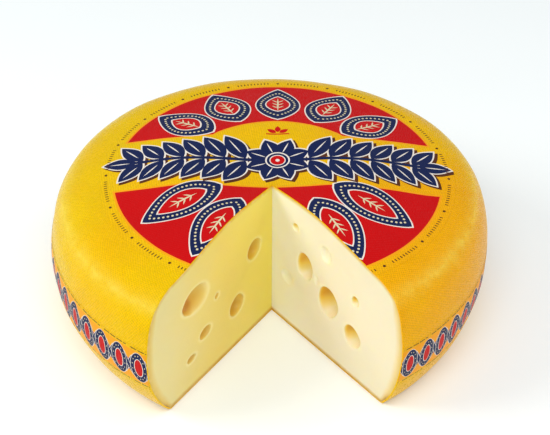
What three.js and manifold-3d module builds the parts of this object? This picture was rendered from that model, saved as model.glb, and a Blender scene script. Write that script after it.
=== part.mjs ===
// A wheel of cheese with one wedge cut out of it, in millimetres, +Z up.
// The paste is one solid body with round eyes that the two knife cuts laid open. A thin wax coat wraps
// its top, side and base, a printed film is stuck on the top, and a printed band runs round the side.
// The wheel stands on its base. The origin is under the middle of its plan box, at the table, and the
// missing wedge opens towards the corner between +X and -Y.
import * as THREE from "three";
import { mergeVertices } from "three/addons/utils/BufferGeometryUtils.js";
import Module from "manifold-3d";

const wasm = await Module();
wasm.setup();

// Driving dimensions of the wheel's outline: heights and radii of the places where its curve turns.
const CENTRE_HEIGHT = 122; // the top dips a little in the middle
const CROWN = { radius: 56, height: 125.2 }; // the highest ring of the top
const RIM = { radius: 134, height: 114.4 }; // where the top starts to roll over into the side
const SHOULDER = { radius: 164.5, height: 88.8 };
const BELLY = { radius: 167.7, height: 63.6 }; // the widest ring
const FOOT_RADIUS = 145; // the flat base that the wheel stands on

// A ripened wheel is never quite round: it has settled into an oval with three faint lobes, and its
// foot has slid a little sideways under the belly.
const OVAL = { share: 0.0123, direction: 103 }; // share of the radius, and the long way in degrees
const LOBES = { share: 0.0114, direction: 65 };
const FOOT_SLIDE = { distance: 5.3, direction: 45 };

// The missing wedge: its point, and the directions of its two knife cuts.
const WEDGE_POINT = new THREE.Vector2(11.1, -7.4);
const CUT_DIRECTIONS = { left: -78, right: -7.3 };

// Layers, from the inside out. Pieces that touch keep a gap.
const COAT_THICKNESS = 1.2;
const FILM_THICKNESS = 0.4;
const GAP = 0.3;

// Printed film and band.
const FILM = { x: 0.6, y: 8.5, radius: 134 };
const BAND = { low: 35.2, height: 36, tilt: 2.4 }; // the tilt in degrees, lower where the foot has slid to

// Fineness of the meshes.
const TURN_STEPS = 60;
const CURVE_STEPS = 4;
const EYE_STEPS = { around: 14, along: 10 };

// Eyes that the cuts laid open. along is measured on the cut from the wedge's point, and up from the
// table. wide and tall are the half sizes of the mouth, deep is how far the bubble goes in, and bulge is
// where its middle lies: above 0 the wall undercuts the mouth, below 0 it is a shallow dish.
const EYES = {
  left: [
    { along: 24, up: 77, wide: 9, tall: 9, deep: 9, bulge: 0.15 },
    { along: 100, up: 81, wide: 16, tall: 11, deep: 6, bulge: -0.4 },
    { along: 106, up: 76, wide: 9, tall: 6.5, deep: 9, bulge: -0.1 },
    { along: 73.5, up: 66, wide: 2.5, tall: 2.5, deep: 2.5, bulge: 0 },
    { along: 48, up: 39, wide: 9, tall: 9, deep: 9, bulge: 0.2 },
    { along: 89, up: 42, wide: 7.5, tall: 5, deep: 5, bulge: 0.1 },
    { along: 107, up: 29, wide: 5.5, tall: 3.5, deep: 4, bulge: 0 },
  ],
  right: [
    { along: 28.5, up: 99.5, wide: 4, tall: 3.5, deep: 3, bulge: 0 },
    { along: 40, up: 69.5, wide: 9, tall: 12, deep: 9, bulge: -0.1 },
    { along: 64.5, up: 96.5, wide: 6, tall: 7, deep: 3, bulge: -0.5 },
    { along: 54.5, up: 65, wide: 3, tall: 4.5, deep: 1.2, bulge: -0.6 },
    { along: 68, up: 53.5, wide: 11, tall: 13.5, deep: 12, bulge: 0.1 },
    { along: 99, up: 75, wide: 4, tall: 4.5, deep: 4, bulge: 0 },
    { along: 97, up: 40, wide: 9.5, tall: 9.5, deep: 8, bulge: 0 },
    { along: 19, up: 46, wide: 7.5, tall: 6.5, deep: 1.8, bulge: -0.6 },
  ],
};

const radians = THREE.MathUtils.degToRad;
const towards = (degrees) => new THREE.Vector2(Math.cos(radians(degrees)), Math.sin(radians(degrees)));

// The wheel's outline from the foot, up the side and over the top to the axis, as x = radius, y = height.
function sideCurve() {
  const path = new THREE.Path();
  path.moveTo(FOOT_RADIUS, 0);
  path.bezierCurveTo(159.5, 15, BELLY.radius + 0.5, 40, BELLY.radius, BELLY.height);
  path.bezierCurveTo(BELLY.radius, 72, 166.3, 80.5, SHOULDER.radius, SHOULDER.height);
  path.bezierCurveTo(161.2, 104, 149, 113, RIM.radius, RIM.height);
  path.bezierCurveTo(108, 117, 80, CROWN.height, CROWN.radius, CROWN.height);
  path.bezierCurveTo(36, CROWN.height, 26, CENTRE_HEIGHT, 0, CENTRE_HEIGHT);
  return path.getPoints(CURVE_STEPS);
}

// The outline moved outwards by a distance, or inwards where it is negative, and closed over the base.
function outlineAt(distance) {
  const curve = sideCurve();
  const base = Math.max(0, -distance);
  const moved = curve.map((point, i) => {
    const before = curve[Math.max(i - 1, 0)];
    const after = curve[Math.min(i + 1, curve.length - 1)];
    const outward = new THREE.Vector2(after.y - before.y, before.x - after.x).normalize();
    return point.clone().addScaledVector(outward, distance);
  });
  moved[0].y = base;
  moved[moved.length - 1].x = 0;
  return [new THREE.Vector2(0, base), ...moved];
}

// Moves every vertex of a round geometry to where the settled wheel has it.
function settle(geometry) {
  const slide = towards(FOOT_SLIDE.direction);
  const place = geometry.getAttribute("position");
  for (let i = 0; i < place.count; i++) {
    const [x, y, z] = [place.getX(i), place.getY(i), place.getZ(i)];
    const turn = Math.atan2(y, x);
    const oval = OVAL.share * Math.cos(2 * (turn - radians(OVAL.direction)));
    const lobes = LOBES.share * Math.cos(3 * (turn - radians(LOBES.direction)));
    const below = Math.max(0, 1 - z / BELLY.height);
    const slid = FOOT_SLIDE.distance * below * below;
    place.setXY(i, x * (1 + oval + lobes) + slide.x * slid, y * (1 + oval + lobes) + slide.y * slid);
  }
  return geometry;
}

// A closed geometry as a solid: only positions, shared vertices, and no slivers on the axis.
function solidOf(geometry) {
  geometry.deleteAttribute("normal");
  geometry.deleteAttribute("uv");
  const merged = mergeVertices(geometry, 1e-4);
  const corners = merged.index.array;
  const kept = [];
  for (let i = 0; i < corners.length; i += 3) {
    const [a, b, c] = [corners[i], corners[i + 1], corners[i + 2]];
    if (a !== b && b !== c && c !== a) kept.push(a, b, c);
  }
  const vertProperties = new Float32Array(merged.getAttribute("position").array);
  return new wasm.Manifold(new wasm.Mesh({ numProp: 3, vertProperties, triVerts: new Uint32Array(kept) }));
}

// The whole wheel, with its skin moved outwards by a distance.
function wheelSolid(distance) {
  const turned = new THREE.LatheGeometry(outlineAt(distance), TURN_STEPS).rotateX(Math.PI / 2);
  return solidOf(settle(turned));
}

// The missing wedge as a tall block that runs out past the wheel on every side.
function wedgeSolid() {
  const reach = 2 * BELLY.radius;
  const middle = (CUT_DIRECTIONS.left + CUT_DIRECTIONS.right) / 2;
  const corners = [CUT_DIRECTIONS.left, middle, CUT_DIRECTIONS.right].map((direction) =>
    WEDGE_POINT.clone().addScaledVector(towards(direction), reach),
  );
  const depth = 2 * CROWN.height;
  const block = new THREE.ExtrudeGeometry(new THREE.Shape([WEDGE_POINT, ...corners]), {
    depth,
    bevelEnabled: false,
  });
  return solidOf(block.translate(0, 0, -depth / 4));
}

// One bubble on a cut. inward points from the cut face into the paste.
function eyeSolid(eye, cutDirection, inward) {
  const mouth = Math.sqrt(1 - eye.bulge * eye.bulge);
  const depth = eye.deep / (1 + eye.bulge);
  const bubble = new THREE.SphereGeometry(1, EYE_STEPS.around, EYE_STEPS.along);
  bubble.scale(eye.wide / mouth, depth, eye.tall / mouth);
  const along = towards(cutDirection);
  const inside = towards(inward);
  const basis = new THREE.Matrix4().makeBasis(
    new THREE.Vector3(along.x, along.y, 0),
    new THREE.Vector3(inside.x, inside.y, 0),
    new THREE.Vector3(0, 0, inward > cutDirection ? 1 : -1),
  );
  const middle = WEDGE_POINT.clone()
    .addScaledVector(along, eye.along)
    .addScaledVector(inside, eye.bulge * depth);
  return solidOf(bubble.applyMatrix4(basis.setPosition(middle.x, middle.y, eye.up)));
}

// The round film that is stuck on the top, as a tall column that its place is cut with.
function filmColumn() {
  const column = new THREE.CylinderGeometry(FILM.radius, FILM.radius, CROWN.height, TURN_STEPS);
  return solidOf(column.rotateX(Math.PI / 2).translate(FILM.x, FILM.y, CROWN.height));
}

// The slab of height that the side band covers, tilted as the band is.
function bandSlab() {
  const slab = new THREE.CylinderGeometry(2 * BELLY.radius, 2 * BELLY.radius, BAND.height, TURN_STEPS);
  const slide = towards(FOOT_SLIDE.direction);
  const hinge = new THREE.Vector3(-slide.y, slide.x, 0);
  slab.rotateX(Math.PI / 2).applyMatrix4(new THREE.Matrix4().makeRotationAxis(hinge, radians(BAND.tilt)));
  return solidOf(slab.translate(0, 0, BAND.low + BAND.height / 2));
}

// A solid as a named mesh with its own material.
function meshOf(name, solid, colour, roughness) {
  const shape = solid.getMesh();
  const geometry = new THREE.BufferGeometry()
    .setAttribute("position", new THREE.BufferAttribute(new Float32Array(shape.vertProperties), 3))
    .setIndex(new THREE.BufferAttribute(new Uint32Array(shape.triVerts), 1));
  geometry.computeVertexNormals();
  const material = new THREE.MeshStandardMaterial({ color: colour, roughness, metalness: 0 });
  const mesh = new THREE.Mesh(geometry, material);
  mesh.name = name;
  return mesh;
}

function makePaste(wedge) {
  const cuts = [
    { eyes: EYES.left, direction: CUT_DIRECTIONS.left, inward: CUT_DIRECTIONS.left - 90 },
    { eyes: EYES.right, direction: CUT_DIRECTIONS.right, inward: CUT_DIRECTIONS.right + 90 },
  ];
  let paste = wheelSolid(-COAT_THICKNESS - GAP).subtract(wedge);
  for (const cut of cuts) {
    for (const eye of cut.eyes) paste = paste.subtract(eyeSolid(eye, cut.direction, cut.inward));
  }
  return meshOf("cheese_paste", paste, 0xf0dc96, 0.5);
}

function makeCoat(wedge) {
  const coat = wheelSolid(0).subtract(wheelSolid(-COAT_THICKNESS)).subtract(wedge);
  return meshOf("wax_coat", coat, 0xf2b40c, 0.4);
}

// A thin printed sheet that lies just off the coat.
function sheetSolid(wedge) {
  return wheelSolid(GAP + FILM_THICKNESS).subtract(wheelSolid(GAP)).subtract(wedge);
}

function makeTopFilm(wedge) {
  return meshOf("top_label", sheetSolid(wedge).intersect(filmColumn()), 0xcf1f1b, 0.45);
}

function makeSideBand(wedge) {
  return meshOf("side_label", sheetSolid(wedge).intersect(bandSlab()), 0xf2a81c, 0.45);
}

// The pieces, moved together so that the plan box of the wheel is centred on the origin.
function makeWheel() {
  const wedge = wedgeSolid();
  const pieces = new THREE.Group();
  pieces.add(makePaste(wedge), makeCoat(wedge), makeTopFilm(wedge), makeSideBand(wedge));
  const middle = new THREE.Box3().setFromObject(pieces).getCenter(new THREE.Vector3());
  pieces.position.set(-middle.x, -middle.y, 0);
  const wheel = new THREE.Group();
  wheel.add(pieces);
  return wheel;
}

export default makeWheel();
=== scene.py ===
"""The looks of a cheese wheel with one wedge cut out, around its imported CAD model.

Lengths are in millimetres until a mesh is made, which is in metres. A place on the wheel's skin is its turn
about the axis, its station along the outline, and its lift off the skin.
"""
import random
from collections import namedtuple
from math import acos, asin, atan2, ceil, cos, degrees, hypot, pi, radians, sin, sqrt, tan

import bmesh
import bpy
import numpy as np
from mathutils import Matrix, Vector
from mathutils.geometry import delaunay_2d_cdt
from numpy.linalg import norm


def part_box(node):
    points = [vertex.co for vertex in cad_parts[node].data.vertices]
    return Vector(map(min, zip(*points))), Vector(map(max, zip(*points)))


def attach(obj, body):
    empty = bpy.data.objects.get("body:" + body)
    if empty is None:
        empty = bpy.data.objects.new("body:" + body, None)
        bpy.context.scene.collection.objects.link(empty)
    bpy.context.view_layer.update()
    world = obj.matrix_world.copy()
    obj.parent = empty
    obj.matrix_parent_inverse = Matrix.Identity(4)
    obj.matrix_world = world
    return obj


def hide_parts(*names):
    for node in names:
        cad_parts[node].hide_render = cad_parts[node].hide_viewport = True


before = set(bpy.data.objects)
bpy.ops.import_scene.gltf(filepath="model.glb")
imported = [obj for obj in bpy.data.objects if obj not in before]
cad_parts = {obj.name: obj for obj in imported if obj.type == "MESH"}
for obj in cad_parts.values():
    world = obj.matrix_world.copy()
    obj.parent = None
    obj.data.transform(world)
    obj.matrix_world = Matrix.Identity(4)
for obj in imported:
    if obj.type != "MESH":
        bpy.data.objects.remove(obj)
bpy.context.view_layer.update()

# ---- the wheel's shape, as the CAD has it

CENTRE_HEIGHT = 122
CROWN = (56, 125.2)
RIM = (134, 114.4)
SHOULDER = (164.5, 88.8)
BELLY = (167.7, 63.6)
FOOT_RADIUS = 145
FOOT_ROUNDING = 2.2
# Bezier curves of radius and height, from the foot up the side and over the top to the axis.
OUTLINE = (
    ((FOOT_RADIUS, 0), (159.5, 15), (BELLY[0] + 0.5, 40), BELLY),
    (BELLY, (BELLY[0], 72), (166.3, 80.5), SHOULDER),
    (SHOULDER, (161.2, 104), (149, 113), RIM),
    (RIM, (108, 117), (80, CROWN[1]), CROWN),
    (CROWN, (36, CROWN[1]), (26, CENTRE_HEIGHT), (0, CENTRE_HEIGHT)),
)
# How far out of round, as a share of the radius, and which way.
OVAL = (0.0123, radians(103))
LOBES = (0.0114, radians(65))
FOOT_SLIDE = 5.3
SLIDE_TURN = radians(45)
VIEW_TURN = radians(45)  # the view's and the print's sideways axis, half way between +X and +Y
WEDGE_POINT = np.array((11.1, -7.4))
LEFT_CUT = radians(-78 + 360)
RIGHT_CUT = radians(-7.3)
COAT_THICKNESS, PASTE_GAP = 1.2, 0.02
COAT_EDGE = ((0, -0.42), (0.12, -0.12), (0.45, 0), (1.2, 0))  # how far in from a cut, and how far it drops
FILM_CENTRE = np.array((0.6, 8.5))
FILM_RADIUS = 134
BAND_LOW, BAND_HEIGHT, BAND_TILT = 35.2, 36, radians(2.4)

# Eyes: the run along the cut from the wedge's point, height, half width, half height, depth, and bulge, which
# is above 0 where the wall undercuts the mouth.
Eye = namedtuple("Eye", "along up wide tall deep bulge")
WIDE_EYE = Eye(100, 81, 16, 11, 6, -0.4)
WIDE_EYE_HOLLOW = Eye(105.5, 76.5, 8.5, 6, 8, -0.1)
LEFT_EYES = (
    Eye(24, 77, 9, 9, 9, 0.15),
    WIDE_EYE,
    Eye(73.5, 66, 2.5, 2.5, 2.5, 0),
    Eye(48, 39, 9, 9, 9, 0.2),
    Eye(89, 42, 7.5, 5, 5, 0.1),
    Eye(107, 29, 5.5, 3.5, 4, 0),
)
RIGHT_EYES = (
    Eye(28.5, 99.5, 4, 3.5, 3, 0),
    Eye(40, 69.5, 9, 12, 9, -0.1),
    Eye(64.5, 96.5, 6, 7, 3, -0.5),
    Eye(54.5, 65, 3, 4.5, 1.2, -0.6),
    Eye(68, 53.5, 11, 13.5, 12, 0.1),
    Eye(99, 75, 4, 4.5, 4, 0),
    Eye(97, 40, 9.5, 9.5, 8, 0),
    Eye(19, 46, 7.5, 6.5, 1.8, -0.6),
)
# Painted shade in the eyes deepens with depth, only a little in flat dishes, and a deep eye gets a golden
# painted shade on one wall.
SHALLOW_BULGE = -0.5  # dishes as flat as this hardly deepen in colour
SHALLOW_TINT, GOLDEN_WALL_SHADE = 0.15, 7.5
EYE_LIP = (0.9, 0.22)  # at most this, or this share of the eye's lesser half size

# The printed sheets' faces and middle off the skin, and how thick their feathered rim is.
SHEET_TOP, SHEET_MIDDLE, SHEET_BOTTOM, SHEET_RIM = 0.24, 0.15, 0.06, 0.03

# The unevenness of the skin, the ridge along the shoulder, and the belt of painted highlight along the ridge.
RELIEF_SIZE = 0.55
RIDGE_HEIGHT, RIDGE_WIDTH, HIGHLIGHT_WIDTH = 0.5, 5.0, 12.0

# The chain round the side band: links between ovals, and a row of dashes along both edges.
OVALS, BEADS = 48, 14
DASH_HEIGHT, DASH_PITCH = 16.6, 6.6

# Fineness of the meshes.
STATION_STEP = 3.6
COAT_COLUMNS = 300
PASTE_COLUMNS = 150
FACE_STEP = 2.0
EYE_POINTS = 56
TOP_STEP = 4.0
BAND_STEP = 5.0

# The wax's colour turns deeper orange this way, as painted shade on the side away from the key light, the
# cloth's threads lie askew, and the floor is a light table, so that it stays pale in the wheel's shade.
WAX_SHADE_TURN = radians(10)
WEAVE_TURN = radians(34)
WEAVE_PITCH, WEAVE_WANDER, WEAVE_DRIFT, WEAVE_RADIUS = 1.75, 0.05, 2.2, 165
THREAD_SHADE = (0.87, 1.04)
FLOOR_GLOW = 0.14


def put_in_scene(name, data):
    thing = bpy.data.objects.new(name, data)
    bpy.context.scene.collection.objects.link(thing)
    return thing


def direction(turn):
    return np.array((cos(turn), sin(turn)))


def turned(points, turn):
    """Points of the plane turned anticlockwise about its origin."""
    c, s = cos(turn), sin(turn)
    return points @ np.array(((c, s), (-s, c)))


def left_of(way):
    return np.array((-way[1], way[0]))


def bezier(points, share):
    a, b, c, d = (np.array(point, float) for point in points)
    t = share[:, None]
    return a * (1 - t) ** 3 + 3 * b * t * (1 - t) ** 2 + 3 * c * t * t * (1 - t) + d * t**3


def section_curve():
    """The wheel's section: out along the base, round the foot, up the side and over the top to the axis."""
    steps = np.linspace(0, 1, 90)
    curve = np.vstack([bezier(piece, steps[:-1]) for piece in OUTLINE] + [[(0, CENTRE_HEIGHT)]])
    corner = curve[0]
    start = int(np.argmax(norm(curve - corner, axis=1) > FOOT_ROUNDING))
    before = corner - (FOOT_ROUNDING, 0)
    base = np.c_[np.linspace(0, before[0], 60), np.zeros(60)]
    t = np.linspace(0, 1, 14)[1:-1, None]
    foot = before * (1 - t) ** 2 + 2 * corner * t * (1 - t) + curve[start] * t * t
    points = np.vstack([base, foot, curve[start:]])
    length = np.concatenate([[0], np.cumsum(norm(np.diff(points, axis=0), axis=1))])
    slope = np.gradient(points, length, axis=0)
    slope /= norm(slope, axis=1)[:, None]
    return length, points, np.c_[slope[:, 1], -slope[:, 0]]


LENGTH, SECTION, OUTWARD = section_curve()
FOOT_STATION = float(LENGTH[60])
TOP_STATION = float(LENGTH[-1])
SIDE_PART = (LENGTH > FOOT_STATION + 3) & (SECTION[:, 1] < RIM[1])
TOP_PART = (LENGTH > FOOT_STATION + 3) & (SECTION[:, 1] > SHOULDER[1])
RIDGE_STATION = float(np.interp(105, SECTION[SIDE_PART, 1], LENGTH[SIDE_PART]))

FULL_TURN = 6.283
shaping = random.Random(7)
WAVES = [
    (
        0.34 / (1 + index * 0.35),
        shaping.choice((2, 3, 5, 7, 9, 12, 15)),
        shaping.uniform(35, 110),
        shaping.uniform(0, 6.28),
        shaping.uniform(0, 6.28),
    )
    for index in range(11)
]


def relief(turn, station):
    """How far the skin stands off the CAD outline: the faint unevenness of a ripened, turned wheel."""
    height = 0
    for size, lobes, wavelength, phase, shift in WAVES:
        wave = np.cos(FULL_TURN * station / wavelength + shift)
        height = height + size * np.sin(lobes * turn + phase) * wave
    on_side = np.clip((station - FOOT_STATION) / 12, 0, 1)
    near_axis = np.clip((TOP_STATION - station - 16) / 30, 0, 1)
    ridge = np.exp(-(((station - RIDGE_STATION) / RIDGE_WIDTH) ** 2)) * (1 + 0.25 * np.sin(3 * turn))
    return RELIEF_SIZE * height * on_side * near_axis + RIDGE_HEIGHT * ridge


def ring(turn, station, lift):
    """Radius before settling, and height, of the skin there."""
    off = lift + relief(turn, station)
    radius = np.interp(station, LENGTH, SECTION[:, 0]) + np.interp(station, LENGTH, OUTWARD[:, 0]) * off
    height = np.interp(station, LENGTH, SECTION[:, 1]) + np.interp(station, LENGTH, OUTWARD[:, 1]) * off
    return np.maximum(radius, 0), height


def roundness(turn):
    oval = OVAL[0] * np.cos(2 * (turn - OVAL[1]))
    return 1 + oval + LOBES[0] * np.cos(3 * (turn - LOBES[1]))


def slid(height):
    """How far the foot has slid sideways under the belly at a height, as x and y."""
    way = FOOT_SLIDE * np.maximum(0, 1 - height / BELLY[1]) ** 2
    return way * cos(SLIDE_TURN), way * sin(SLIDE_TURN)


def skin(turn, station, lift=0.0):
    turn, station, lift = np.broadcast_arrays(turn, station, lift)
    radius, height = ring(turn, station, lift)
    radius = radius * roundness(turn)
    slide_x, slide_y = slid(height)
    return np.stack([radius * np.cos(turn) + slide_x, radius * np.sin(turn) + slide_y, height], axis=-1)


def cut_turn(station, lift, cut):
    """The turn at which rings meet a cut. Rings that pass inside the wedge's point get the point's turn."""
    station = np.asarray(station, float)
    along = direction(cut)
    turn = np.full(station.shape, cut)
    for _ in range(9):
        radius, height = ring(turn, station, lift)
        slide_x, slide_y = slid(height)
        from_x = WEDGE_POINT[0] - slide_x
        from_y = WEDGE_POINT[1] - slide_y
        middle = from_x * along[0] + from_y * along[1]
        inside = from_x**2 + from_y**2 - (radius * roundness(turn)) ** 2
        reach = np.where(inside < 0, -middle + np.sqrt(np.maximum(middle**2 - inside, 0)), 0)
        found = np.arctan2(from_y + reach * along[1], from_x + reach * along[0])
        turn = cut + (found - cut + pi) % (2 * pi) - pi
    return turn


def point_station(low, high, lift):
    """The station between one inside the wedge's point and one outside whose ring just meets it."""
    for _ in range(44):
        middle = (low + high) / 2
        turn = cut_turn(np.array([middle]), lift, RIGHT_CUT)
        radius, height = ring(turn, middle, lift)
        slide_x, slide_y = slid(height)
        reach = hypot(WEDGE_POINT[0] - slide_x[0], WEDGE_POINT[1] - slide_y[0])
        if float(radius[0] * roundness(turn)[0]) < reach:
            low = middle
        else:
            high = middle
    return (low + high) / 2


def stations(lift):
    """Stations of the rings, and the places in that list of the two that meet the wedge's point."""
    low = point_station(4, 40, lift)
    high = point_station(TOP_STATION - 4, TOP_STATION - 40, lift)
    base = [0, 2.5, 5.5, 9, low, 19, 32, 52, 76, 100, 120, 134, FOOT_STATION - 2]
    foot = [FOOT_STATION + share * FOOT_ROUNDING * 1.9 for share in (0, 0.25, 0.5, 0.75, 1)]
    side_length = TOP_STATION - 21 - (foot[-1] + 1.5)
    count = int(side_length / STATION_STEP)
    side = [foot[-1] + 1.5 + side_length * i / count for i in range(count + 1)]
    top = [high, TOP_STATION - 9, TOP_STATION - 5.5, TOP_STATION - 2.5, TOP_STATION]
    return np.array(base + foot + side + top), 4, len(base + foot + side)


# ---- mesh helpers


def wheel_grid(columns, edge_offsets, edge_lifts, lift):
    """Points of the skin between the two cuts: rings by columns. The first and last columns lie on the
    right and the left cut, and on rings inside the wedge's point they coincide."""
    at, low, high = stations(lift)
    first = cut_turn(at, lift, RIGHT_CUT)
    last = cut_turn(at, lift, LEFT_CUT)
    closed = np.zeros(len(at), bool)
    closed[: low + 1] = True
    closed[high:] = True
    for index in np.flatnonzero(closed):
        slide_x, slide_y = slid(SECTION[0, 1] if index <= low else CENTRE_HEIGHT)
        turn = atan2(WEDGE_POINT[1] - slide_y, WEDGE_POINT[0] - slide_x)
        first[index] = turn
        last[index] = turn + 2 * pi
    even = np.linspace(0, 1, columns)[1:-1]
    near = np.array(edge_offsets) / (BELLY[0] * (LEFT_CUT - RIGHT_CUT))
    shares = np.concatenate([near, even, 1 - near[::-1]])
    lifts = np.concatenate([edge_lifts, np.zeros(len(even)), edge_lifts[::-1]])
    turns = first[:, None] + (last - first)[:, None] * shares[None, :]
    open_ring = np.where(closed, 0, 1)[:, None]
    return skin(turns, at[:, None], lift + lifts[None, :] * open_ring), closed, at, turns


NUMBERS = ("rind", "hollow", "aged_and_shaded")


class Mesh:
    """Vertices and faces gathered into one mesh, with a material for each face and NUMBERS for each vertex:
    rind, how far it is from the rind in rind widths, or 1 on the coat's cut rim; hollow, the painted shade in
    an eye, which grows with its depth, or on the face below 0 by how far it is from an eye's lip; and the
    last, the share of the left cut's deeper colour, which is partly painted shade."""

    def __init__(self):
        self.points = []
        self.faces = []
        self.paints = []
        self.numbers = []

    def add_points(self, points, numbers=None):
        start = len(self.points)
        self.points.extend(map(tuple, points))
        self.numbers.extend([(0.0, 0.0, 0.0)] * len(points) if numbers is None else map(tuple, numbers))
        return start

    def add_face(self, corners, paint=0):
        ring_of = [int(corner) for i, corner in enumerate(corners) if corner != corners[i - 1]]
        if len(set(ring_of)) > 2:
            self.faces.append(tuple(ring_of))
            self.paints.append(paint)

    def add_grid(self, grid, closed, flipped=False):
        """A grid of rings by columns. The first and last rings are poles, and a closed ring's last point is
        its first. Returns vertex numbers."""
        rings, columns = grid.shape[:2]
        number = np.zeros((rings, columns), int)
        for i in range(rings):
            count = 1 if i in (0, rings - 1) else columns - 1 if closed[i] else columns
            number[i] = self.add_points(grid[i, :count]) + np.arange(columns) % count
        for i in range(rings - 1):
            for j in range(columns - 1):
                face = [number[i, j], number[i, j + 1], number[i + 1, j + 1], number[i + 1, j]]
                self.add_face(face[::-1] if flipped else face)
        return number

    def build(self, name, materials, weld=False, sharp=None):
        mesh = bpy.data.meshes.new(name)
        mesh.from_pydata([tuple(c / 1000 for c in point) for point in self.points], [], self.faces)
        for material in materials:
            mesh.materials.append(material)
        mesh.polygons.foreach_set("material_index", self.paints)
        mesh.polygons.foreach_set("use_smooth", [True] * len(self.faces))
        for place, label in enumerate(NUMBERS):
            layer = mesh.attributes.new(label, "FLOAT", "POINT")
            layer.data.foreach_set("value", [values[place] for values in self.numbers])
        if weld:
            work = bmesh.new()
            work.from_mesh(mesh)
            bmesh.ops.remove_doubles(work, verts=work.verts, dist=3e-6)
            work.to_mesh(mesh)
            work.free()
        if sharp is not None:
            mesh.set_sharp_from_angle(angle=radians(sharp))
        mesh.validate()
        mesh.update()
        return put_in_scene(name, mesh)


def within(points, polygon):
    """Which points lie inside a polygon."""
    found = np.zeros(len(points), bool)
    low, high = polygon.min(axis=0), polygon.max(axis=0)
    near = np.flatnonzero(((points >= low) & (points <= high)).all(axis=1))
    if len(near):
        x, y = points[near, 0, None], points[near, 1, None]
        ax, ay = polygon[:, 0], polygon[:, 1]
        bx, by = np.roll(ax, -1), np.roll(ay, -1)
        rise = np.where(by == ay, 1, by - ay)
        crosses = ((ay > y) != (by > y)) & (x < ax + (y - ay) * (bx - ax) / rise)
        found[near] = np.count_nonzero(crosses, axis=1) % 2 == 1
    return found


def distance_to(points, line, widths=None):
    """Distance from each point to an open line, shared by the line's width there where it is given."""
    best = np.full(len(points), 1e9)
    for i in range(len(line) - 1):
        a, b = line[i], line[i + 1]
        along = b - a
        share = np.clip(((points - a) @ along) / max(along @ along, 1e-12), 0, 1)
        gap = norm(points - a - share[:, None] * along, axis=1)
        if widths is not None:
            gap = gap / (widths[i] + (widths[i + 1] - widths[i]) * share)
        best = np.minimum(best, gap)
    return best


def lattice(low, high, step):
    """Points of an even triangular lattice over a rectangle."""
    rows = np.arange(low[1], high[1], step * 0.866)
    columns = np.arange(low[0], high[0], step)
    return np.array([(x + step * 0.5 * (row % 2), y) for row, y in enumerate(rows) for x in columns])


def closed_line(loop):
    return np.vstack([loop, loop[:1]])


def divided(loop, step):
    """A closed loop with its long edges divided."""
    parts = []
    for a, b in zip(loop, np.roll(loop, -1, axis=0)):
        count = max(1, ceil(norm(b - a) / step))
        parts.append(a + (b - a) * np.linspace(0, 1, count, endpoint=False)[:, None])
    return np.vstack(parts)


def triangulate(loops, extra):
    """Triangles over closed loops and loose points, and their points, as 2-D arrays."""
    points, edges = [], []
    for loop in loops:
        start = len(points)
        points.extend(Vector(p) for p in loop)
        edges.extend((start + i, start + (i + 1) % len(loop)) for i in range(len(loop)))
    points.extend(Vector(p) for p in extra)
    found, _, faces, *_ = delaunay_2d_cdt(points, edges, [], 0, 1e-5, False)
    return np.array([tuple(p) for p in found]), np.array(faces)


# ---- the paste: cut faces and eyes


def wobble(seed):
    """An outline's unevenness by angle."""
    seeded = random.Random(seed)
    waves = [(k, 0.035 / k**0.6 * seeded.uniform(0.4, 1.1), seeded.uniform(0, 6.28)) for k in (2, 3, 4, 5)]
    return lambda angle: 1 + sum(a * np.cos(k * angle + p) for k, a, p in waves)


def eye_rings(eye, seed):
    """Rings of an eye from its lip inwards. Each is its places off the eye's middle, and their depths."""
    mouth = sqrt(1 - eye.bulge * eye.bulge)
    depth = eye.deep / (1 + eye.bulge)
    lip = min(EYE_LIP[0], EYE_LIP[1] * min(eye.wide, eye.tall)) / ((eye.wide + eye.tall) / 2)
    start = acos(-eye.bulge) - lip
    wall = (sin(start) / mouth, eye.bulge * depth + depth * cos(start))
    profile = []
    for t in np.linspace(0, 1, 6):
        profile.append(((1 + lip) * (1 - t) ** 2 + 2 * t * (1 - t) + wall[0] * t * t, wall[1] * t * t))
    for angle in np.linspace(start, 0, 12)[1:]:
        profile.append((sin(angle) / mouth, eye.bulge * depth + depth * cos(angle)))
    turns = np.linspace(0, 2 * pi, EYE_POINTS, endpoint=False)
    round_it = np.c_[eye.wide * np.cos(turns), eye.tall * np.sin(turns)]
    uneven = wobble(seed)(turns) - 1
    rings = []
    for share, inward in profile:
        reach = share * (1 + uneven * min(1, share))
        rings.append((round_it * reach[:, None], np.full(EYE_POINTS, inward)))
    return rings


def with_hollow(places, depths):
    """The wide eye's depths joined softly to those of the deeper hollow inside it."""
    eye = WIDE_EYE_HOLLOW
    mouth = sqrt(1 - eye.bulge * eye.bulge)
    depth = eye.deep / (1 + eye.bulge)
    across, up = ((places - (eye.along, eye.up)) * mouth / (eye.wide, eye.tall)).T
    past = eye.bulge * depth + depth * np.sqrt(np.maximum(0, 1 - across**2 - up**2)) - depths
    softness = 2.2
    return depths + np.where(depths > 0.05, np.log1p(np.exp(np.clip(past * softness, -30, 30))) / softness, 0)


def knife_relief(places, seed):
    """The faint unevenness that the knife left in a cut."""
    seeded = random.Random(seed)
    height = np.zeros(len(places))
    for size, wave in ((0.3, 60), (0.22, 38), (0.12, 22), (0.07, 12)):
        heading = seeded.uniform(0.9, 1.9)
        run = places[:, 0] * cos(heading) + places[:, 1] * sin(heading)
        across = places[:, 1] * cos(heading) - places[:, 0] * sin(heading)
        ripple = np.sin(FULL_TURN * run / wave + seeded.uniform(0, 6))
        height += size * ripple * np.cos(FULL_TURN * across / (wave * 2.3) + seeded.uniform(0, 6))
    return height


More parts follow.
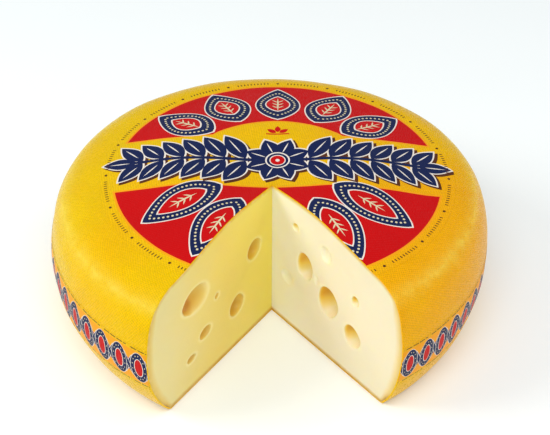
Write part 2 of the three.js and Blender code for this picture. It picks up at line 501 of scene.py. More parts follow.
class CutFace:
    """One cut. Its places are the run along the cut from the wedge's point, and the height."""

    def __init__(self, mesh, cut, lift, seed, aged_and_shaded):
        at, low, high = stations(lift)
        at = at[low : high + 1]
        self.mesh, self.seed, self.aged_and_shaded = mesh, seed, aged_and_shaded
        self.flipped = cut == LEFT_CUT
        self.along = direction(cut)
        self.inward = direction(cut - pi / 2 if self.flipped else cut + pi / 2)
        skin_edge = skin(cut_turn(at, lift, cut), at, lift)
        self.edge = np.c_[(skin_edge[:, :2] - WEDGE_POINT) @ self.along, skin_edge[:, 2]]
        self.edge[0, 0] = self.edge[-1, 0] = 0
        normal_up = np.interp(at, LENGTH, OUTWARD[:, 1])
        self.rind_widths = np.interp(normal_up, (-0.75, -0.3, 0.35, 0.75), (5.0, 7.5, 7.5, 3.0))

    def layout(self, eyes, rims):
        """Places and triangles of the face around its eyes."""
        steps = int((self.edge[-1, 1] - self.edge[0, 1]) / FACE_STEP)
        heights = np.linspace(self.edge[-1, 1], self.edge[0, 1], steps + 1)[1:-1]
        border = np.vstack([self.edge, np.c_[np.zeros(steps - 1), heights]])
        loose = lattice(border.min(axis=0), border.max(axis=0), FACE_STEP)
        loose = loose[within(loose, border)]
        loose = loose[distance_to(loose, closed_line(border)) > FACE_STEP * 0.55]
        for rim in rims:
            loose = loose[~within(loose, rim)]
            loose = loose[distance_to(loose, closed_line(rim)) > FACE_STEP * 0.5]
        beside_point = np.c_[np.full(steps - 1, 0.35), heights]
        halos = []
        for eye, rim in zip(eyes, rims):
            middle = np.array((eye.along, eye.up))
            halos.append((rim - middle) * (1 + 1.1 / max(eye.wide, eye.tall)) + middle)
        flat, faces = triangulate([border] + rims, np.vstack([loose, beside_point] + halos))
        middles = flat[faces].mean(axis=1)
        keep = within(middles, border)
        for rim in rims:
            keep &= ~within(middles, rim)
        return flat, faces[keep]

    def add_points(self, places, depths, hollow):
        """Adds places at depths under the face, which waves a little away from its edges."""
        ease = np.clip(distance_to(places, self.edge) / 9, 0, 1) * np.clip(places[:, 0] / 7, 0, 1)
        total = depths + knife_relief(places, self.seed) * ease * ease * (3 - 2 * ease)
        plan = WEDGE_POINT + places[:, :1] * self.along + total[:, None] * self.inward
        rind = np.clip(distance_to(places, self.edge, self.rind_widths), 0, 9)
        age_and_shade = np.where(places[:, 0] < 0.1, 0.5, self.aged_and_shaded)
        points = np.c_[plan, places[:, 1]]
        return self.mesh.add_points(points, np.c_[rind, hollow, age_and_shade])

    def add_face(self, corners):
        self.mesh.add_face(corners[::-1] if self.flipped else corners)

    def eye_shade(self, eye, plan, depths):
        """Painted shade in an eye, which deepens with depth, and more on the left cut. On the right cut the
        wall towards the wedge's point and the top gets a golden painted shade, and on the left cut that wall
        is paler."""
        side = (plan[:, 1] / eye.tall - plan[:, 0] / eye.wide) / 1.41
        shallow = eye.bulge <= SHALLOW_BULGE
        tint = SHALLOW_TINT if shallow else (9 / eye.deep) ** 0.7 * (0.35 + 0.65 * self.aged_and_shaded)
        shade = np.maximum(depths, 0) * tint * (1 - 0.45 * self.aged_and_shaded * side)
        if shallow:
            return shade
        golden = (1 - self.aged_and_shaded) * GOLDEN_WALL_SHADE * np.clip(0.35 + side, 0, 1)
        return shade + golden * np.clip(depths / 2.5, 0, 1)

    def add_eye(self, eye, rings):
        middle = np.array([(eye.along, eye.up)], float)
        starts = []
        for plan, depths in rings[:-1]:
            places = plan + middle
            if eye is WIDE_EYE:
                depths = with_hollow(places, depths)
            starts.append(self.add_points(places, depths, self.eye_shade(eye, plan, depths)))
        depth = rings[-1][1][:1]
        pole = self.add_points(middle, depth, self.eye_shade(eye, np.zeros((1, 2)), depth))
        steps = [(i, (i + 1) % EYE_POINTS) for i in range(EYE_POINTS)]
        for outer, inner in zip(starts, starts[1:]):
            for i, j in steps:
                self.add_face([outer + i, outer + j, inner + j, inner + i])
        for i, j in steps:
            self.add_face([starts[-1] + i, starts[-1] + j, pole])

    def add(self, eyes):
        holes = [eye_rings(eye, self.seed * 100 + i) for i, eye in enumerate(eyes)]
        rims = [rings[0][0] + (eye.along, eye.up) for eye, rings in zip(eyes, holes)]
        flat, faces = self.layout(eyes, rims)
        gap = np.full(len(flat), 9.0)
        for rim in rims:
            gap = np.minimum(gap, distance_to(flat, closed_line(rim)))
        start = self.add_points(flat, np.zeros(len(flat)), np.minimum(0, -gap))
        for face in faces:
            self.add_face(face + start)
        for eye, rings in zip(eyes, holes):
            self.add_eye(eye, rings)


def make_paste(material):
    mesh = Mesh()
    lift = -COAT_THICKNESS - PASTE_GAP
    grid, closed, _, _ = wheel_grid(PASTE_COLUMNS, (0,), np.zeros(1), lift)
    mesh.add_grid(grid, closed)
    # The left cut's deeper colour is partly the cheese's own and partly painted shade of that face.
    CutFace(mesh, RIGHT_CUT, lift, seed=11, aged_and_shaded=0.0).add(RIGHT_EYES)
    CutFace(mesh, LEFT_CUT, lift, seed=12, aged_and_shaded=1.0).add(LEFT_EYES)
    return mesh.build("paste", [material], weld=True, sharp=50)


def make_coat(material):
    """The coat is a closed shell, rounded where the knife cut its outer edge."""
    mesh = Mesh()
    offsets, drops = zip(*COAT_EDGE)
    outer, closed, at, turns = wheel_grid(COAT_COLUMNS, offsets, np.array(drops), 0.0)
    inner, _, _, _ = wheel_grid(COAT_COLUMNS, offsets, np.zeros(len(COAT_EDGE)), -COAT_THICKNESS)
    out = mesh.add_grid(outer, closed)
    into = mesh.add_grid(inner, closed, flipped=True)
    for number in np.concatenate([out[:, 0], out[:, -1], into[:, 0], into[:, -1]]):
        mesh.numbers[number] = (1.0, 0.0, 0.0)
    for i in range(len(at) - 1):
        if closed[i] and closed[i + 1]:
            continue
        mesh.add_face([out[i, 0], out[i + 1, 0], into[i + 1, 0], into[i, 0]])
        mesh.add_face([out[i, -1], into[i, -1], into[i + 1, -1], out[i + 1, -1]])
    piece = mesh.build("coat", [material], sharp=50)
    layer = piece.data.uv_layers.new(name="weave")
    places = {}
    for numbers in (out, into):
        for i in range(len(at)):
            for j in range(numbers.shape[1]):
                places.setdefault(int(numbers[i, j]), (turns[i, j] * WEAVE_RADIUS, at[i]))
    for loop in piece.data.loops:
        layer.data[loop.index].uv = places[loop.vertex_index]
    return piece


# ---- the printed film and band


def on_top(plan, lift):
    """Places on the upper skin straight above points of the plan."""
    turn = np.arctan2(plan[:, 1], plan[:, 0])
    radius = norm(plan, axis=1) / roundness(turn)
    radii, at = SECTION[TOP_PART, 0][::-1], LENGTH[TOP_PART][::-1]
    station = np.interp(radius, radii, at)
    for _ in range(3):
        off = np.interp(station, LENGTH, OUTWARD[:, 0]) * (lift + relief(turn, station))
        station = np.interp(radius - off, radii, at)
    return skin(turn, station, lift)


def band_station(turn, offset):
    """The station of the band's places, whose middle line lies askew on the wheel."""
    middle = BAND_LOW + BAND_HEIGHT / 2 - tan(BAND_TILT) * BELLY[0] * np.cos(turn - VIEW_TURN)
    return np.interp(middle + offset, SECTION[SIDE_PART, 1], LENGTH[SIDE_PART])


def on_side(band, lift):
    """Places on the side: band points are the run round the belly and the height off the band's middle."""
    turn = band[:, 0] / BELLY[0]
    return skin(turn, band_station(turn, band[:, 1]), lift)


def printed_sheet(name, border, paints, materials, place, step):
    """A thin closed sheet on the skin. paints are (material number, polygon), later ones on top."""
    shapes = [polygon for _, polygon in paints]
    loose = lattice(border.min(axis=0), border.max(axis=0), step)
    loose = loose[within(loose, border)]
    flat, faces = triangulate([divided(loop, step) for loop in [border] + shapes], loose)
    middles = flat[faces].mean(axis=1)
    keep = within(middles, border)
    faces, middles = faces[keep], middles[keep]
    paint = np.zeros(len(faces), int)
    for number, polygon in paints:
        paint[within(middles, polygon)] = number
    used = np.unique(faces)
    renumber = np.full(len(flat), -1)
    renumber[used] = np.arange(len(used))
    flat, faces = flat[used], renumber[faces]

    small = 0.05
    run = place(flat + (small, 0), SHEET_TOP) - place(flat - (small, 0), SHEET_TOP)
    rise = place(flat + (0, small), SHEET_TOP) - place(flat - (0, small), SHEET_TOP)
    normals = np.cross(run, rise)
    normals /= norm(normals, axis=1)[:, None]

    mesh = Mesh()
    thin = distance_to(flat, closed_line(border)) < 0.01
    top = mesh.add_points(place(flat, np.where(thin, SHEET_BOTTOM + SHEET_RIM, SHEET_TOP)))
    bottom = mesh.add_points(place(flat, SHEET_BOTTOM))
    sides = {}
    for face, number in zip(faces, paint):
        corners = face.tolist()
        mesh.add_face([top + v for v in corners], int(number))
        mesh.add_face([bottom + v for v in corners[::-1]], 0)
        for a, b in zip(corners, corners[1:] + corners[:1]):
            if (b, a) in sides:
                del sides[(b, a)]
            else:
                sides[(a, b)] = int(number)
    for (a, b), number in sides.items():
        mesh.add_face([top + b, top + a, bottom + a, bottom + b], number)
    piece = mesh.build(name, materials)
    piece.data.normals_split_custom_set_from_vertices(np.vstack([normals, -normals]).tolist())
    return piece


YELLOW, RED, ORANGE, NAVY, WHITE, SHADOW, CREAM = range(7)


def arc(radius, count, start, end):
    turns = np.radians(np.linspace(start, end, count))
    return radius * np.c_[np.cos(turns), np.sin(turns)]


def ellipse(centre, wide, tall, count):
    turns = np.linspace(0, 2 * pi, count, endpoint=False)
    return np.array(centre) + np.c_[wide * np.cos(turns), tall * np.sin(turns)]


def leaf(base, tip, width, grow=0.0, count=12, belly=0.9, fullness=0.92):
    """A leaf pointed at both ends, made wider and longer all round by grow."""
    base, tip = np.array(base, float), np.array(tip, float)
    length = norm(tip - base)
    along = (tip - base) / length
    across = left_of(along)
    pointed = 1.7 * grow
    base, length = base - along * pointed, length + 2 * pointed
    share = np.linspace(0, 1, count + 1)
    half = (width / 2 + grow) * np.sin(pi * share**belly) ** fullness
    spine = base + along * (length * share)[:, None]
    left = spine + across * half[:, None]
    right = spine - across * half[:, None]
    return np.vstack([left, right[-2:0:-1]])


def strip(a, b, width):
    """A straight bar from a to b."""
    a, b = np.array(a, float), np.array(b, float)
    along = (b - a) / norm(b - a)
    across = left_of(along) * width / 2
    return np.array((a + across, a - across, b - across, b + across))


def red_fields(grow):
    """The red upper and lower fields of the film, grown all round."""
    radius = 123 + grow
    low = 42 - grow
    arch = [(-50 + 100 * t, low + 19 * sin(pi * t) ** 0.8) for t in np.linspace(0, 1, 25)]
    side = degrees(asin(low / radius))
    rim = arc(radius, 90, side, 180 - side)
    upper = np.vstack([rim, arch])
    base = -23 + grow
    drop = degrees(asin(base / radius))
    lower = arc(radius, 90, -180 - drop, drop)
    return upper, lower


def flower_leaf(base, tip, width):
    """A broad leaf: red with pale veins, in a wide navy border edged in white that carries beads."""

    def outline(grow, count):
        return leaf(base, tip, width, grow, count, belly=0.88, fullness=0.8)

    base, tip = np.array(base, float), np.array(tip, float)
    borders = ((WHITE, 0.9, 26), (NAVY, 0, 26), (WHITE, -7.0, 22), (RED, -7.9, 22))
    paints = [(number, outline(grow, count)) for number, grow, count in borders]
    row = divided(outline(-3.6, 30), 0.5)
    run = np.concatenate([[0], np.cumsum(norm(np.diff(row, axis=0), axis=1))])
    beads = int(run[-1] / 3.3)
    for step in range(beads):
        middle = [np.interp(step * run[-1] / beads, run, row[:, axis]) for axis in (0, 1)]
        paints.append((CREAM, ellipse(middle, 0.95, 0.95, 8)))
    along = (tip - base) / norm(tip - base)
    across = left_of(along)
    middle = (base + tip) / 2 - along * 1.5
    paints.append((CREAM, leaf(middle - along * 12, middle + along * 13, 1.5)))
    for step in (-7, -1.5, 4):
        for side in (-1, 1):
            root = middle + along * step
            paints.append((CREAM, leaf(root, root + along * 4.5 + across * side * 4.6, 1.2)))
    return paints


def garland():
    """A leafy garland along the yellow field, with a rosette in its middle."""
    stem = 11.5
    leaves = []
    count = 6
    for side in (-1, 1):
        for i in range(count):
            share = i / (count - 1)
            x = 24 + 78 * share
            length = 31 - 4 * share
            spread = radians(58 - 8 * share)
            for way in (-1, 1):
                reach = np.array((side * cos(spread), way * sin(spread))) * length
                start = np.array((side * x, stem + way * 1.5))
                leaves.append((start, start + reach, 15 - 1.5 * share))
        leaves.append((np.array((side * 106.0, stem)), np.array((side * 132.0, stem)), 13))
    for i in range(8):
        way = radians(22.5 + 45 * i)
        reach = direction(way)
        middle = np.array((0, stem))
        leaves.append((middle + reach * 5, middle + reach * 25.5, 14.5))
    bars = [strip((side * 18, stem), (side * 112, stem), 3.4) for side in (-1, 1)]
    shadow_way = np.array((2.2, -2.4))
    paints = [(SHADOW, leaf(a + shadow_way, b + shadow_way, width, 1.3)) for a, b, width in leaves]
    paints += [(WHITE, leaf(a, b, width, 1.1)) for a, b, width in leaves]
    paints += [(NAVY, bar) for bar in bars]
    paints += [(NAVY, leaf(a, b, width)) for a, b, width in leaves]
    paints += [(WHITE, leaf(a + (b - a) * 0.22, a + (b - a) * 0.82, 1.1)) for a, b, width in leaves]
    for size, number in ((9.4, WHITE), (8.2, NAVY), (6.2, WHITE), (5.4, RED), (1.6, WHITE)):
        paints.append((number, ellipse((0, stem), size, size, 24)))
    return paints


def top_paints():
    paints = [(ORANGE, field) for field in red_fields(1.6)] + [(RED, field) for field in red_fields(0)]
    pairs = (((50, 46), (93, 78)), ((29, 61), (52, 110)), ((42, -22), (98, -61)), ((27, -39), (60, -99)))
    for base, tip in pairs:
        for side in (1, -1):
            paints += flower_leaf((side * base[0], base[1]), (side * tip[0], tip[1]), 34)
    paints += flower_leaf((0, 64), (0, 118), 34)
    paints += garland()
    for way in (-58, 0, 58):
        reach = np.array((sin(radians(way)), cos(radians(way))))
        paints.append((RED, leaf(reach * 1.5 + (0, 44), reach * 9.5 + (0, 44), 4.6)))
    paints.append((RED, strip((-9, 43), (9, 43), 1.3)))
    ticks = 300
    for i in range(ticks):
        way = 2 * pi * i / ticks
        out = direction(way)
        if i % 15 == 0:
            paints.append((SHADOW, ellipse(out * 129.2, 1.2, 1.2, 8)))
        elif i % 15 not in (1, 2, 13, 14):
            paints.append((SHADOW, strip(out * 128.0, out * 130.4, 0.9)))
    return paints


def top_border():
    """Border of the film in its own print coordinates: the disc less the wedge."""
    corners = []
    for cut in (RIGHT_CUT, LEFT_CUT):
        along = direction(cut)
        start = WEDGE_POINT - FILM_CENTRE
        middle = start @ along
        reach = -middle + sqrt(middle**2 - (start @ start - FILM_RADIUS**2))
        hit = start + reach * along
        corners.append(degrees(atan2(hit[1], hit[0])))
    rim = arc(FILM_RADIUS, 260, corners[0], corners[1] + 360)
    point = (WEDGE_POINT - FILM_CENTRE)[None, :]
    sides = []
    for end in (rim[-1:], rim[:1]):
        share = np.linspace(0, 1, 42)[1:-1, None]
        sides.append(end + (point - end) * share)
    border = np.vstack([rim, sides[0], point, sides[1][::-1]])
    return turned(border, -VIEW_TURN)


def make_top_film(materials):
    def place(flat, lift):
        return on_top(turned(flat, VIEW_TURN) + FILM_CENTRE, lift)

    return printed_sheet("top_film", top_border(), top_paints(), materials, place, TOP_STEP)


def band_ends(offsets, cut):
    """The run at which the band meets a cut, for heights off the band's middle."""
    turn = np.full(len(offsets), cut)
    for _ in range(4):
        turn = cut_turn(band_station(turn, offsets), SHEET_MIDDLE, cut)
    return turn * BELLY[0]


def box(left, low, right, high):
    return np.array(((left, low), (right, low), (right, high), (left, high)))


def band_paints(start, end):
    """The chain of beaded ovals joined by crossed links, between the runs at which the band ends."""
    first = float(start[7]) + 8.5
    last = float(end[7]) - 7
    pitch = (last - first) / (OVALS - 1)
    paints = [(ORANGE, box(start[0] - 9, -15, end[0] + 9, 15))]
    middles = [first + pitch * i for i in range(OVALS)]
    for x in [first - pitch] + middles:
        paints.append((RED, box(x + 3, -6, x + pitch - 3, 6)))
        for way in (-1, 1):
            for number, width in ((WHITE, 4.2), (NAVY, 3.4)):
                paints.append((number, strip((x + 4, way * 9), (x + pitch - 4, -way * 9), width)))
    for x in middles:
        for number, wide, tall in ((WHITE, 7.5, 14.2), (NAVY, 7.1, 13.8), (WHITE, 3.9, 8.6), (RED, 3.4, 8.0)):
            paints.append((number, ellipse((x, 0), wide, tall, 30)))
        for i in range(BEADS):
            way = 2 * pi * (i + 0.5) / BEADS
            paints.append((CREAM, ellipse((x + 5.5 * cos(way), 11.2 * sin(way)), 0.42, 0.62, 6)))
    dash = 0
    x = float(start.min()) - 2
    while x < end.max():
        for height in (DASH_HEIGHT, -DASH_HEIGHT):
            run = 5.6 if dash % 4 else 2.4
            paints.append((SHADOW, strip((x, height), (x + run, height), 0.8)))
        dash += 1
        x += DASH_PITCH
    return paints


def make_side_band(materials):
    half = BAND_HEIGHT / 2
    heights = np.linspace(-half, half, 15)
    start = band_ends(heights, RIGHT_CUT)
    end = band_ends(heights, LEFT_CUT)
    runs = np.linspace(0, 1, 300)[1:-1]
    low = np.c_[start[0] + (end[0] - start[0]) * runs, np.full(len(runs), -half)]
    high = np.c_[end[-1] + (start[-1] - end[-1]) * runs, np.full(len(runs), half)]
    right = np.c_[start, heights][::-1]
    left = np.c_[end, heights]
    border = np.vstack([right, low, left, high])
    return printed_sheet("side_band", border, band_paints(start, end), materials, on_side, BAND_STEP)


# ---- materials


def linear(*levels):
    """An sRGB colour, 0 to 255, as linear RGBA."""
    values = [level / 255 for level in levels]
    return tuple(v / 12.92 if v <= 0.04045 else ((v + 0.055) / 1.055) ** 2.4 for v in values) + (1.0,)


def build(tree, kind, values=(), **settings):
    """A new node with its settings and inputs; an input that is another node's output is linked."""
    node = tree.nodes.new("ShaderNode" + kind)
    for key, value in settings.items():
        setattr(node, key, value)
    for key, value in dict(values).items():
        if isinstance(value, bpy.types.NodeSocket):
            tree.links.new(value, node.inputs[key])
        else:
            node.inputs[key].default_value = value
    return node


def maths(tree, operation, *values, clamp=False):
    return build(tree, "Math", dict(enumerate(values)), operation=operation, use_clamp=clamp).outputs[0]


def vector_maths(tree, operation, values, output="Vector"):
    return build(tree, "VectorMath", values, operation=operation).outputs[output]


def attribute(tree, name):
    return build(tree, "Attribute", attribute_name=name).outputs["Fac"]


def ramp(tree, share, *stops):
    """A colour ramp; each stop is a position and an sRGB colour."""
    node = build(tree, "ValToRGB", {"Fac": share})
    while len(node.color_ramp.elements) < len(stops):
        node.color_ramp.elements.new(0.5)
    for element, (position, *colour) in zip(node.color_ramp.elements, stops):
        element.position = position
        element.color = linear(*colour)
    return node.outputs["Color"]


def noise(tree, where, scale, detail=2.0, roughness=0.5):
    values = {"Vector": where, "Scale": scale, "Detail": detail, "Roughness": roughness}
    return build(tree, "TexNoise", values).outputs["Fac"]


def mix(tree, share, a, b, blend="MIX"):
    return build(tree, "Mix", {0: share, 6: a, 7: b}, data_type="RGBA", blend_type=blend).outputs[2]


def grey(tree, share, low, high):
    return build(tree, "MapRange", {"Value": share, "To Min": low, "To Max": high}).outputs["Result"]


def new_material(name, **constants):
    material = bpy.data.materials.new(name)
    material.use_nodes = True
    tree = material.node_tree
    shader = tree.nodes["Principled BSDF"]
    for key, value in constants.items():
        shader.inputs[key.replace("_", " ")].default_value = value
    where = tree.nodes.new("ShaderNodeTexCoord").outputs["Object"]
    return material, tree, shader, where


def uneven(tree, shader, *layers):
    """Bumps from broad to fine; each layer is its height, strength and distance."""
    values = {}
    for height, strength, distance in layers:
        values.update({"Height": height, "Strength": strength, "Distance": distance})
        values["Normal"] = build(tree, "Bump", values).outputs["Normal"]
    tree.links.new(values["Normal"], shader.inputs["Normal"])


def weave(tree, where):
    """Height, from 0 to 1, of a plain weave over X and Y in millimetres."""
    values = {"Vector": where, "Scale": WEAVE_WANDER, "Detail": 1.0}
    drift = build(tree, "TexNoise", values).outputs["Color"]
    sway = WEAVE_PITCH * WEAVE_DRIFT
    moved = vector_maths(tree, "MULTIPLY_ADD", {0: drift, 1: (sway, sway, 0), 2: where})
    askew = build(tree, "VectorRotate", {"Vector": moved, "Angle": WEAVE_TURN}, rotation_type="Z_AXIS")
    parts = build(tree, "SeparateXYZ", {"Vector": askew.outputs["Vector"]})
    across = maths(tree, "SINE", maths(tree, "MULTIPLY", parts.outputs["X"], 6.2832 / WEAVE_PITCH))
    along = maths(tree, "SINE", maths(tree, "MULTIPLY", parts.outputs["Y"], 6.2832 / WEAVE_PITCH))
    return grey(tree, maths(tree, "MAXIMUM", across, along), 0.0, 1.0)


def shaded(tree, colour, share, low, high):
    """A colour made lighter or darker: times low where share is 0, and times high where it is 1."""
    level = grey(tree, share, low, high)
    light = build(tree, "CombineColor", {0: level, 1: level, 2: level}).outputs[0]
    return mix(tree, 1.0, colour, light, "MULTIPLY")


def wax_look(tree, where):
    """Colour of the yellow wax: mottled from lemon to orange yellow, and grainy; it is deeper towards one
    side, which is painted shade on the side away from the key light.
    """
    plan = vector_maths(tree, "DOT_PRODUCT", {0: where, 1: (*direction(WAX_SHADE_TURN), 0)}, "Value")
    broad = grey(tree, noise(tree, where, 9, 3, 0.55), 0.0, 1.0)
    # Painted shade: the wax turns deeper orange towards the side away from the key light.
    tone_and_shade = maths(tree, "ADD", broad, maths(tree, "MULTIPLY", plan, -1.5))
    colour = ramp(tree, tone_and_shade, (0.24, 241, 172, 0), (0.44, 240, 185, 0), (0.68, 236, 193, 0))
    patchy = shaded(tree, colour, noise(tree, where, 60, 4, 0.6), 0.93, 1.07)
    return shaded(tree, patchy, noise(tree, where, 640, 2, 0.7), 0.8, 1.2)


def wax_material():
    through = {"Subsurface_Weight": 0.08, "Subsurface_Scale": 0.003, "Subsurface_Radius": (1.0, 0.6, 0.15)}
    material, tree, shader, where = new_material("yellow_wax", Specular_IOR_Level=0.09, **through)
    cloth = tree.nodes.new("ShaderNodeUVMap")
    cloth.uv_map = "weave"
    cut_rim = attribute(tree, "rind")
    threads = maths(tree, "MAXIMUM", weave(tree, cloth.outputs["UV"]), cut_rim)
    colour = shaded(tree, wax_look(tree, where), threads, *THREAD_SHADE)
    # Painted highlight: a pale, patchy belt all round the shoulder's ridge, standing in for the sheen there.
    station = build(tree, "SeparateXYZ", {"Vector": cloth.outputs["UV"]}).outputs["Y"]
    off = maths(tree, "ABSOLUTE", maths(tree, "SUBTRACT", station, RIDGE_STATION))
    near = maths(tree, "SUBTRACT", 1.0, maths(tree, "DIVIDE", off, HIGHLIGHT_WIDTH), clamp=True)
    highlight_patches = grey(tree, noise(tree, where, 90, 4, 0.7), -0.4, 1.0)
    painted_highlight = maths(tree, "MULTIPLY", maths(tree, "MULTIPLY", near, near), highlight_patches, clamp=True)
    colour = mix(tree, painted_highlight, colour, linear(252, 228, 96))
    tree.links.new(colour, shader.inputs["Base Color"])
    worn = noise(tree, where, 500, 2)
    tree.links.new(grey(tree, worn, 0.16, 0.42), shader.inputs["Roughness"])
    uneven(tree, shader, (noise(tree, where, 45, 3), 0.35, 0.0012), (threads, 0.8, 0.00015))
    return material


def print_material(name, colour=None, speck=None):
    """Ink on the film: an even colour with a little unevenness, or the wax's own, over the cloth's weave."""
    material, tree, shader, where = new_material(name, Specular_IOR_Level=0.1)
    threads = weave(tree, vector_maths(tree, "SCALE", {0: where, 3: 1000.0}))
    if colour is None:
        base = shaded(tree, wax_look(tree, where), threads, *THREAD_SHADE)
    else:
        specks = grey(tree, noise(tree, where, 320, 3, 0.6), 0.0, 0.45)
        base = mix(tree, specks, linear(*colour), linear(*speck))
        base = shaded(tree, base, noise(tree, where, 22, 2), 0.92, 1.06)
    tree.links.new(base, shader.inputs["Base Color"])
    worn = noise(tree, where, 110, 2)
    tree.links.new(grey(tree, worn, 0.36, 0.52), shader.inputs["Roughness"])
    relief_share = 0.7 if colour is None else 0.4
    uneven(tree, shader, (noise(tree, where, 45, 3), 0.3, 0.0012), (threads, relief_share, 0.00025))
    return material


INKS = (
    ("film_yellow",),
    ("ink_red", (203, 8, 11), (182, 4, 10)),
    ("ink_orange", (246, 164, 22), (238, 150, 16)),
    ("ink_navy", (15, 29, 74), (30, 44, 90)),
    ("ink_white", (240, 232, 222), (226, 212, 196)),
    ("ink_brown", (92, 48, 22), (70, 34, 20)),
    ("ink_cream", (226, 214, 176), (204, 190, 150)),
)


def paste_material():
    """Cut cheese. The left, earlier cut is golden in the core, paler outwards and deeper in colour: partly
    the cheese's own colour and partly painted shade of that face. The right cut is painted paler towards the
    wedge's point, as painted light against the shade there. The rind is darker, darker still along the base
    as painted shade, and the eyes are moister, with warmer or browner painted shade deepening inside them."""
    through = {"Subsurface_Weight": 0.5, "Subsurface_Scale": 0.006, "Subsurface_Radius": (1.0, 0.75, 0.3)}
    material, tree, shader, where = new_material("cut_cheese", Specular_IOR_Level=0.35, **through)
    rind, hollow, aged_and_shaded = [attribute(tree, name) for name in NUMBERS]
    plan = vector_maths(tree, "MULTIPLY", {0: where, 1: (1, 1, 0)})
    radius = vector_maths(tree, "LENGTH", {0: plan}, "Value")
    cloudy = grey(tree, noise(tree, where, 18, 3, 0.5), -0.16, 0.16)
    outwards = maths(tree, "ADD", maths(tree, "DIVIDE", radius, 0.16), cloudy)
    # Painted light on the right cut, paler towards the wedge's point against the shade there; the left cut's
    # deeper colour is partly painted shade.
    fresh_and_lit = ramp(tree, outwards, (0.08, 255, 251, 228), (0.45, 247, 234, 204), (0.95, 241, 228, 196))
    older_and_shaded = ramp(tree, outwards, (0.08, 247, 226, 100), (0.5, 240, 214, 108), (0.95, 230, 214, 148))
    body = mix(tree, aged_and_shaded, fresh_and_lit, older_and_shaded)

    fine = noise(tree, where, 130, 4, 0.6)
    reach = maths(tree, "ADD", rind, grey(tree, fine, -0.14, 0.14))
    # Along the base the rind is darker still: partly the rind's own colour, partly painted shade for the
    # floor's contact shadow.
    height = build(tree, "SeparateXYZ", {"Vector": where}).outputs["Z"]
    low = maths(tree, "DIVIDE", maths(tree, "SUBTRACT", 0.016, height), 0.01, clamp=True)
    side_zone = ramp(tree, reach, (0, 246, 214, 132), (0.45, 251, 234, 190), (1, 255, 255, 255))
    base_rind_and_shadow = ramp(tree, reach, (0, 196, 140, 62), (0.24, 238, 206, 132), (0.75, 255, 255, 255))
    zone = mix(tree, low, side_zone, base_rind_and_shadow)
    colour = mix(tree, 1.0, body, zone, "MULTIPLY")
    # Painted shade in the eyes, warmer on the right cut and browner on the left, deepening inside them.
    inside = maths(tree, "DIVIDE", maths(tree, "SUBTRACT", hollow, 0.6), 9.0, clamp=True)
    clear = (0, 255, 255, 255)
    warm_eye_shade = ramp(tree, inside, clear, (0.3, 255, 246, 190), (0.7, 255, 226, 100), (1, 238, 186, 58))
    brown_eye_shade = ramp(tree, inside, clear, (0.35, 250, 236, 200), (0.7, 242, 214, 150), (1, 234, 186, 112))
    colour = mix(tree, 1.0, colour, mix(tree, aged_and_shaded, warm_eye_shade, brown_eye_shade), "MULTIPLY")
    off_lip = maths(tree, "DIVIDE", maths(tree, "ABSOLUTE", hollow), 2.4)
    lip = maths(tree, "SUBTRACT", 1.0, off_lip, clamp=True)
    colour = mix(tree, maths(tree, "MULTIPLY", lip, 0.28), colour, linear(255, 244, 200))
    tree.links.new(colour, shader.inputs["Base Color"])
    wet = maths(tree, "GREATER_THAN", hollow, 0.3)
    dry = grey(tree, noise(tree, where, 60, 3), 0.42, 0.58)
    moist = maths(tree, "SUBTRACT", dry, maths(tree, "MULTIPLY", wet, 0.14))
    tree.links.new(moist, shader.inputs["Roughness"])
    grain = noise(tree, where, 420, 4, 0.65)
    uneven(tree, shader, (noise(tree, where, 55, 3), 0.25, 0.0015), (grain, 0.35, 0.0003))
    return material


# ---- stage, light and camera


def floor_material():
    glow = {"Emission_Strength": FLOOR_GLOW, "Emission_Color": (0.66, 0.94, 1.0, 1.0)}
    material, tree, shader, where = new_material("pale_floor", Roughness=0.9, Specular_IOR_Level=0.1, **glow)
    cloudy = ramp(tree, noise(tree, where, 3, 2), (0.3, 246, 246, 246), (0.7, 248, 248, 248))
    tree.links.new(cloudy, shader.inputs["Base Color"])
    return material


def make_floor():
    mesh = bpy.data.meshes.new("floor")
    corners = [(x, y, -0.0003) for x, y in box(-6, -6, 6, 6).tolist()]  # just clear of the wheel's base
    mesh.from_pydata(corners, [], [(0, 1, 2, 3)])
    mesh.materials.append(floor_material())
    floor = put_in_scene("floor", mesh)


def aim(thing, place, target, roll=0.0):
    way = Vector(target) - Vector(place)
    aimed = way.to_track_quat("-Z", "Y").to_matrix().to_4x4() @ Matrix.Rotation(roll, 4, "Z")
    aimed.translation = Vector(place)
    thing.matrix_world = aimed


def make_light(name, azimuth, elevation, reach, size, power, colour=(1, 1, 1)):
    """An area light. azimuth is seen from above, from the viewer's right hand, anticlockwise."""
    lamp = bpy.data.lights.new(name, "AREA")
    lamp.shape = "DISK"
    lamp.size = size
    lamp.energy = power
    lamp.color = colour
    turn = radians(azimuth) + VIEW_TURN
    up = radians(elevation)
    place = Vector((cos(turn) * cos(up), sin(turn) * cos(up), sin(up))) * reach
    aim(put_in_scene(name, lamp), place + Vector((0, 0, 0.06)), (0, 0, 0.06))


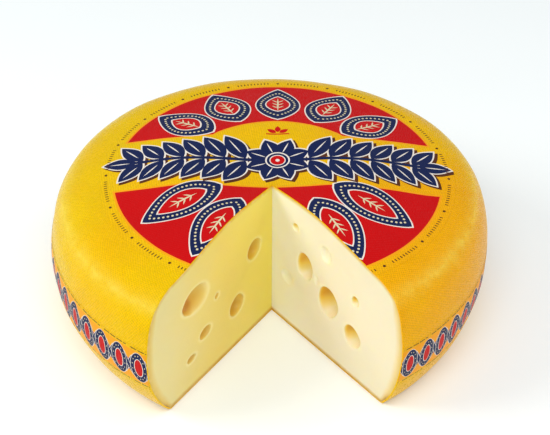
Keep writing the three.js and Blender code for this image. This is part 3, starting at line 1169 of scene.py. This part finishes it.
def make_world(strength):
    world = bpy.data.worlds.new("studio")
    world.use_nodes = True
    background = world.node_tree.nodes["Background"]
    background.inputs["Color"].default_value = (0.97, 0.99, 1.0, 1.0)
    background.inputs["Strength"].default_value = strength
    bpy.context.scene.world = world


def make_camera(offset):
    """A long lens that looks down at the wheel from the side of the missing wedge."""
    wheel = 165.0  # the radius in which the place is given
    down = radians(37.62)
    ahead = Vector((0, cos(down), -sin(down)))
    place = Vector((0.029 * wheel, 0, 0.493 * wheel)) - ahead * (8.256 * wheel)
    to_wheel = Matrix.Rotation(VIEW_TURN, 4, "Z")
    place = (to_wheel @ place + Vector((*offset, 0))) / 1000
    lens = bpy.data.cameras.new("camera")
    lens.sensor_fit = "HORIZONTAL"
    lens.sensor_width = 36
    lens.lens = 116.9
    lens.clip_end = 50
    camera = put_in_scene("camera", lens)
    aim(camera, place, place + to_wheel @ ahead, radians(0.36))
    bpy.context.scene.camera = camera


# ---- putting it together


def plan_offset():
    """How far the CAD was moved to centre its plan box: its coat's middle less this outline's."""
    low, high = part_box("wax_coat")
    grid, _, _, _ = wheel_grid(720, (0,), np.zeros(1), 0.0)
    flat = grid[..., :2].reshape(-1, 2)
    middle = (flat.min(axis=0) + flat.max(axis=0)) / 2
    return [(low[i] + high[i]) * 500 - middle[i] for i in range(2)]


offset = plan_offset()
film_looks = [print_material(*ink) for ink in INKS]
pieces = (
    (make_paste(paste_material()), "cheese_paste", "paste"),
    (make_coat(wax_material()), "wax_coat", "wax"),
    (make_top_film(film_looks), "top_label", "label_film"),
    (make_side_band(film_looks), "side_label", "band_film"),
)
for piece, node, slot in pieces:
    piece.data.transform(Matrix.Translation((offset[0] / 1000, offset[1] / 1000, 0)))
    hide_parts(node)
    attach(piece, "root")

make_floor()
make_world(0.45)
make_light("key", 190, 38, 1.5, 0.8, 9.2, (0.97, 1.0, 0.97))
make_light("front", 266, 56, 1.6, 1.0, 9.4)
make_light("fill", -24, 17, 1.5, 0.8, 1.9, (1.0, 0.88, 0.7))
make_light("side", 12, 40, 1.6, 0.9, 3.7)
make_camera(offset)
bpy.context.scene.view_settings.view_transform = "Standard"
